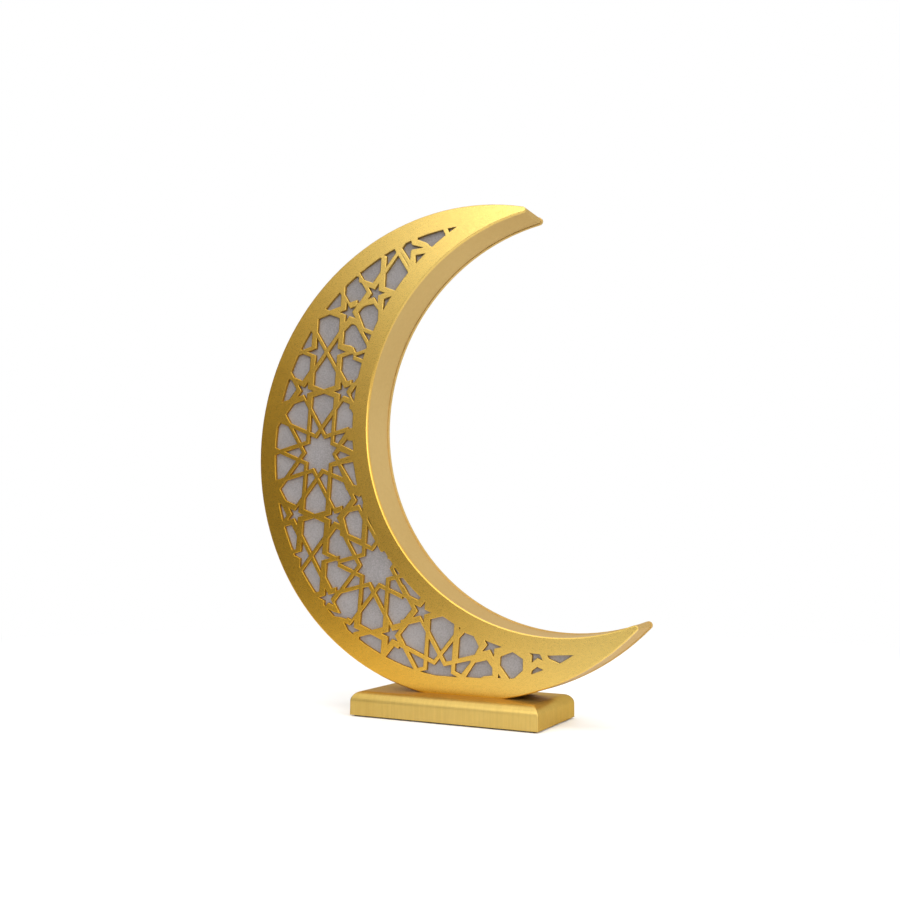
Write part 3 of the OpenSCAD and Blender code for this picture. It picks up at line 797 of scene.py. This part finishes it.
@dataclass
class ContactSprings:
    """The two coiled springs at the cells' flat ends.

    Attributes:
        wardrobe: the finishes.
        wire: radius of the spring wire in metres.
        turns: turns of each coil.
        sides: corners of the wire's section.
        steps: steps in one turn.
        mandrel: radius of the even winding, in metres, that is then drawn in to the spring's outline.
        end_depth: how far from an end a point still lies on it, in metres.
        places: decimal places of the ends, in metres.
    """

    wardrobe: Wardrobe
    wire: float = 0.35 * MM
    turns: int = 4
    sides: int = 8
    steps: int = 24
    mandrel: float = 1.0
    end_depth: float = 0.1 * MM
    places: int = 6

    def wind(self, length: float) -> bpy.types.Object:
        """Winds one open coil of even radius up the Z axis.

        Args:
            length: length of the finished coil in metres.

        Returns:
            The coil.
        """
        bpy.ops.object.select_all(action="DESELECT")
        bpy.ops.mesh.primitive_circle_add(vertices=self.sides, radius=self.wire,
                                          location=(self.mandrel, 0.0, 0.0),
                                          rotation=(math.pi / 2, 0.0, 0.0))
        coil = bpy.context.active_object
        bpy.ops.object.transform_apply(location=True, rotation=True, scale=True)
        screw = coil.modifiers.new("wind", "SCREW")
        screw.angle = 2 * math.pi * self.turns
        screw.screw_offset = length - 2 * self.wire
        screw.steps = screw.render_steps = self.steps * self.turns
        bpy.ops.object.modifier_apply(modifier=screw.name)
        return coil

    def coil(self, points: list[Vector]) -> bpy.types.Object:
        """Makes one coil that fills the outline of a packed spring.

        Args:
            points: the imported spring's points, which lie on two round ends across X.

        Returns:
            The coil.
        """
        low = round(min(p.x for p in points), self.places)
        high = round(max(p.x for p in points), self.places)
        middle = box_middle(points)
        first, last = (max(math.hypot(p.y - middle.y, p.z - middle.z)
                           for p in points if abs(p.x - end) < self.end_depth) for end in (low, high))
        coil = self.wind(high - low)
        for vertex in coil.data.vertices:
            around = math.atan2(vertex.co.y, vertex.co.x)
            along = vertex.co.z + self.wire
            radius = first + (last - first) * (along / (high - low)) - self.wire
            out = math.hypot(vertex.co.x, vertex.co.y) - self.mandrel + radius
            vertex.co = Vector((low + along, middle.y + out * math.cos(around),
                                middle.z + out * math.sin(around)))
        alone(coil)
        bpy.ops.object.mode_set(mode="EDIT")
        bpy.ops.mesh.select_all(action="SELECT")
        bpy.ops.mesh.remove_doubles(threshold=WELD)
        bpy.ops.mesh.fill_holes(sides=self.sides)
        bpy.ops.mesh.normals_make_consistent(inside=False)
        bpy.ops.object.mode_set(mode="OBJECT")
        bpy.ops.object.shade_smooth()
        return coil

    def build(self, frame: dict) -> bpy.types.Object:
        """Makes both coils and joins them.


        Returns:
            The finished piece.
        """
        node = frame["nodes"]["contact_springs"]
        points = [v.co.copy() for v in node.data.vertices]
        split = box_middle(points).z
        piece, other = (self.coil([p for p in points if (p.z > split) == upper])
                        for upper in (False, True))
        alone(piece)
        other.select_set(True)
        bpy.ops.object.join()
        piece.name = "contact_coils"
        self.wardrobe.dress(piece, Slot.STEEL)
        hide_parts("contact_springs")
        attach(piece, "lantern")
        return piece


def box_middle(points: list[Vector]) -> Vector:
    """Gives the middle of the box round some points."""
    return Vector([(min(p[i] for p in points) + max(p[i] for p in points)) / 2 for i in range(3)])


def alone(piece: bpy.types.Object) -> None:
    """Selects one object and nothing else.

    Args:
        piece: the object.
    """
    bpy.ops.object.select_all(action="DESELECT")
    piece.select_set(True)
    bpy.context.view_layer.objects.active = piece


def merge(piece: bpy.types.Object) -> None:
    """Joins a copied node's loose triangles into one skin and drops its flat edges.

    Args:
        piece: the copy.
    """
    alone(piece)
    bpy.ops.object.mode_set(mode="EDIT")
    bpy.ops.mesh.select_all(action="SELECT")
    bpy.ops.mesh.remove_doubles(threshold=WELD)
    bpy.ops.mesh.dissolve_limited(angle_limit=FLAT)
    bpy.ops.object.mode_set(mode="OBJECT")


def cut(piece: bpy.types.Object, cutter: bpy.types.Object) -> None:
    """Takes a cutter's shape out of a piece and removes the cutter.

    Args:
        piece: the object that is cut.
        cutter: the shape that comes out.
    """
    alone(piece)
    step = piece.modifiers.new("cut", "BOOLEAN")
    step.operation = "DIFFERENCE"
    step.solver = "EXACT"
    step.object = cutter
    bpy.ops.object.modifier_apply(modifier=step.name)
    bpy.data.objects.remove(cutter, do_unlink=True)


@dataclass(frozen=True)
class PhotoCamera:
    """The camera that stands where the photograph was taken.

    Attributes:
        place: its place in metres.
        yaw: turn to the left from +Y, in radians.
        pitch: tilt upwards, in radians.
        roll: turn about its own axis, in radians.
        focal_share: focal length as a share of the picture's width.
        sensor: width of the sensor in mm.
        clip: nearest and farthest distance that it sees, in metres.
    """

    place: Point = (0.390485, -0.819156, 0.147541)
    yaw: float = 0.4583
    pitch: float = 0.0806
    roll: float = 0.01
    focal_share: float = 1081.74 / 900
    sensor: float = 36.0
    clip: Span = (0.01, 100.0)

    def build(self) -> bpy.types.Object:
        """Makes the camera and makes it the scene's.

        Returns:
            The camera object.
        """
        ahead = Vector((-math.sin(self.yaw) * math.cos(self.pitch),
                        math.cos(self.yaw) * math.cos(self.pitch), math.sin(self.pitch)))
        right = Vector((math.cos(self.yaw), math.sin(self.yaw), 0.0))
        up = right.cross(ahead)
        across = math.cos(self.roll) * right + math.sin(self.roll) * up
        upwards = -math.sin(self.roll) * right + math.cos(self.roll) * up
        data = bpy.data.cameras.new("photo_camera")
        data.sensor_width = self.sensor
        data.sensor_fit = "HORIZONTAL"
        data.lens = self.focal_share * self.sensor
        data.clip_start, data.clip_end = self.clip
        camera = bpy.data.objects.new("photo_camera", data)
        bpy.context.scene.collection.objects.link(camera)
        turn = Matrix((across, upwards, -ahead)).transposed()
        camera.matrix_world = Matrix.Translation(Vector(self.place)) @ turn.to_4x4()
        bpy.context.scene.camera = camera
        return camera


@dataclass(frozen=True)
class SoftBox:
    """One soft rectangular lamp.

    Attributes:
        name: the lamp's name.
        place: its place in metres.
        aim: the point that it faces.
        size: width and height in metres.
        watts: its power.
    """

    name: str
    place: Point
    aim: Point
    size: tuple[float, float]
    watts: float

    def build(self) -> bpy.types.Object:
        """Makes the lamp.

        Returns:
            The lamp object.
        """
        data = bpy.data.lights.new(self.name, "AREA")
        data.shape = "RECTANGLE"
        data.size, data.size_y = self.size
        data.energy = self.watts
        lamp = bpy.data.objects.new(self.name, data)
        bpy.context.scene.collection.objects.link(lamp)
        lamp.location = self.place
        lamp.visible_camera = False
        lamp.rotation_mode = "QUATERNION"
        lamp.rotation_quaternion = (Vector(self.aim) - Vector(self.place)).to_track_quat("-Z", "Y")
        return lamp


@dataclass
class Studio:
    """Floor, world and lamps.

    Attributes:
        dim: level of the world's light from the front left.
        bright: level of the world's light from the front right and above.
        slope_share: how much upwards counts against right, on the way from dim to bright.
        slope: where the world's light starts and ends to grow, on that way.
        world_back: how far behind a direction points where the world starts and ends to be white.
        floor_size: edge of the floor in metres.
        floor_drop: how far the floor lies under the lantern in metres.
        paper: colour of the floor.
        fade: distances in metres at which the floor starts and ends to turn white.
        floor_back: how far behind, in metres, mirrored floor starts and ends to be white.
    """

    dim: float = 0.06
    bright: float = 1.5
    slope_share: float = 0.55
    slope: Span = (-0.58, -0.02)
    world_back: Span = (0.0, 0.3)
    floor_size: float = 30.0
    floor_drop: float = 0.2 * MM
    paper: Rgb = (0.93, 0.93, 0.93)
    fade: Span = (0.25, 0.9)
    floor_back: Span = (-0.3, 0.3)

    @staticmethod
    def seen(g: Graph, behind: bpy.types.NodeSocket) -> bpy.types.NodeSocket:
        """Gives the white that the camera sees, straight on or in a mirroring piece.

        Args:
            g: the graph.
            behind: level of the white for mirrored and refracted rays.

        Returns:
            The level's socket, which is 1 for the camera's own rays.
        """
        path = g.add("ShaderNodeLightPath").outputs
        mirrored = g.math("MAXIMUM", path["Is Glossy Ray"], path["Is Transmission Ray"])
        return g.math("MAXIMUM", path["Is Camera Ray"], g.math("MULTIPLY", mirrored, behind))

    def build_world(self) -> None:
        """Makes a white surround for the camera and a soft one for the object."""
        world = bpy.data.worlds.new("studio")
        bpy.context.scene.world = world
        world.use_nodes = True
        world.node_tree.nodes.clear()
        g = Graph(world.node_tree)
        right, back, up = g.split(g.add("ShaderNodeTexCoord").outputs["Generated"])
        behind = g.ramp(back, *self.world_back)
        slope = g.math("MULTIPLY_ADD", up, self.slope_share, right)
        front = g.ramp(slope, *self.slope, self.dim, self.bright)
        level = g.math("MULTIPLY_ADD", behind, g.math("SUBTRACT", 1.0, front), front)
        light = g.add("ShaderNodeBackground")
        g.fill(light, {"Color": (1.0, 1.0, 1.0),
                       "Strength": g.math("MAXIMUM", level, self.seen(g, behind))})
        out = g.add("ShaderNodeOutputWorld")
        g.join(light.outputs[0], out.inputs[0])

    def build_floor(self) -> None:
        """Makes the pale floor, which turns into the white surround further out."""
        bpy.ops.object.select_all(action="DESELECT")
        bpy.ops.mesh.primitive_plane_add(size=self.floor_size, location=(0, 0, -self.floor_drop))
        floor = bpy.context.active_object
        floor.name = "floor"
        material = bpy.data.materials.new("pale_floor")
        material.use_nodes = True
        material.node_tree.nodes.clear()
        g = Graph(material.node_tree)
        where = g.add("ShaderNodeTexCoord").outputs["Object"]
        length = g.add("ShaderNodeVectorMath", operation="LENGTH")
        g.join(where, length.inputs[0])
        paper = g.add("ShaderNodeBsdfDiffuse")
        g.fill(paper, {"Color": self.paper})
        behind = g.ramp(g.split(where)[1], *self.floor_back, self.dim, 1.0)
        white = g.add("ShaderNodeEmission")
        g.fill(white, {"Strength": g.math("MAXIMUM", self.seen(g, behind), self.dim)})
        mixed = g.add("ShaderNodeMixShader")
        g.join(g.ramp(length.outputs["Value"], *self.fade), mixed.inputs[0])
        g.join(paper.outputs[0], mixed.inputs[1])
        g.join(white.outputs[0], mixed.inputs[2])
        out = g.add("ShaderNodeOutputMaterial")
        g.join(mixed.outputs[0], out.inputs[0])
        floor.data.materials.append(material)

    def build_lamps(self) -> None:
        """Makes the lamps."""
        lamps = (
            SoftBox("front_panel_light", place=(0.7, -1.6, 0.9), aim=(0.0, 0.0, 0.2),
                    size=(1.2, 1.2), watts=7.0),
            SoftBox("upper_front_light", place=(-0.40, -1.44, 0.95), aim=(0.09, 0.0, 0.42),
                    size=(0.5, 0.5), watts=2.1),
            SoftBox("edge_light", place=(1.3, -0.75, 0.35), aim=(0.0, 0.0, 0.22),
                    size=(0.5, 1.3), watts=2.6),
            SoftBox("top_light", place=(0.1, -0.3, 1.7), aim=(0.0, 0.0, 0.2),
                    size=(1.2, 1.2), watts=3.0),
            SoftBox("right_light", place=(1.6, -0.1, 0.9), aim=(0.0, 0.0, 0.2),
                    size=(0.9, 0.9), watts=1.0),
        )
        for lamp in lamps:
            lamp.build()

    def build(self) -> None:
        """Builds the whole studio."""
        self.build_world()
        self.build_floor()
        self.build_lamps()
        bpy.context.scene.view_settings.view_transform = "Standard"


def main() -> None:
    """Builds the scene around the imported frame."""
    logging.basicConfig(level=logging.INFO, format="%(name)s: %(message)s")
    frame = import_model()
    PhotoCamera().build()
    Studio().build()
    wardrobe = Wardrobe()
    PackedParts(wardrobe).dress(frame)
    for goods in (BackScrews(wardrobe), ContactSprings(wardrobe)):
        LOG.info("built %s", goods.build(frame).name)


if __name__ == "__main__":
    main()
